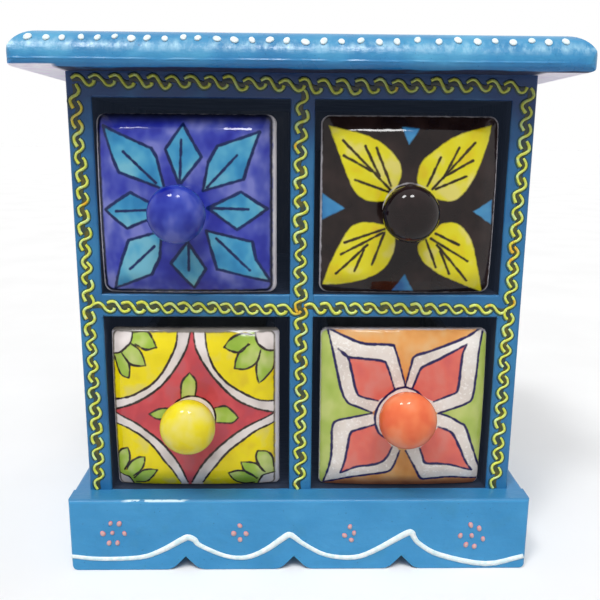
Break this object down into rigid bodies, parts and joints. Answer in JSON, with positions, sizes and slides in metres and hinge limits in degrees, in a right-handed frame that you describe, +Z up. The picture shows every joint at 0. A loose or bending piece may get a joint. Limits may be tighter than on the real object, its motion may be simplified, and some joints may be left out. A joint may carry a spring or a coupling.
{
  "type": "jewelry chest",
  "caption": "Small painted wooden chest with an overhanging rounded top, a scalloped plinth and square glazed ceramic drawers with round knobs that slide out.",
  "frame": {"origin": "centre of the bounding box's bottom face, on the floor, drawers shut", "axes": "+X to the right seen from the front, +Y to the back, +Z up; the drawers slide out along -Y"},
  "size_m": [0.1896, 0.1234, 0.1931],
  "materials": {
    "case_paint": "satin",
    "bare_wood": "matte",
    "back_board": "satin",
    "nail_steel": "satin",
    "white_glaze": "gloss",
    "blue_glaze": "gloss",
    "brown_glaze": "gloss",
    "yellow_glaze": "gloss",
    "orange_glaze": "gloss"
  },
  "bodies": {
    "case": {"left_side": "case_paint", "right_side": "case_paint", "bottom_board": "case_paint", "upper_board": "case_paint", "middle_shelf": "case_paint", "centre_divider": "case_paint", "back_panel": "back_board", "top_board": "case_paint", "plinth_front": "case_paint", "plinth_left": "case_paint", "plinth_right": "case_paint", "plinth_back": "bare_wood", "glue_blocks": "bare_wood", "left_side_nails": "nail_steel", "right_side_nails": "nail_steel", "top_board_nails": "nail_steel", "divider_nails": "nail_steel", "back_panel_pins": "nail_steel"},
    "upper_left_drawer": {"drawer_face_upper_left": "blue_glaze", "drawer_box_upper_left": "white_glaze", "knob_upper_left": "blue_glaze"},
    "upper_right_drawer": {"drawer_face_upper_right": "brown_glaze", "drawer_box_upper_right": "white_glaze", "knob_upper_right": "brown_glaze"},
    "lower_left_drawer": {"drawer_face_lower_left": "yellow_glaze", "drawer_box_lower_left": "white_glaze", "knob_lower_left": "yellow_glaze"},
    "lower_right_drawer": {"drawer_face_lower_right": "orange_glaze", "drawer_box_lower_right": "white_glaze", "knob_lower_right": "orange_glaze"}
  },
  "joints": [
    {"name": "upper_left_slide", "type": "slide", "parent": "case", "child": "upper_left_drawer", "axis": [0, -1, 0], "range_m": [0, 0.065]},
    {"name": "upper_right_slide", "type": "slide", "parent": "case", "child": "upper_right_drawer", "axis": [0, -1, 0], "range_m": [0, 0.065]},
    {"name": "lower_left_slide", "type": "slide", "parent": "case", "child": "lower_left_drawer", "axis": [0, -1, 0], "range_m": [0, 0.065]},
    {"name": "lower_right_slide", "type": "slide", "parent": "case", "child": "lower_right_drawer", "axis": [0, -1, 0], "range_m": [0, 0.065]}
  ]
}
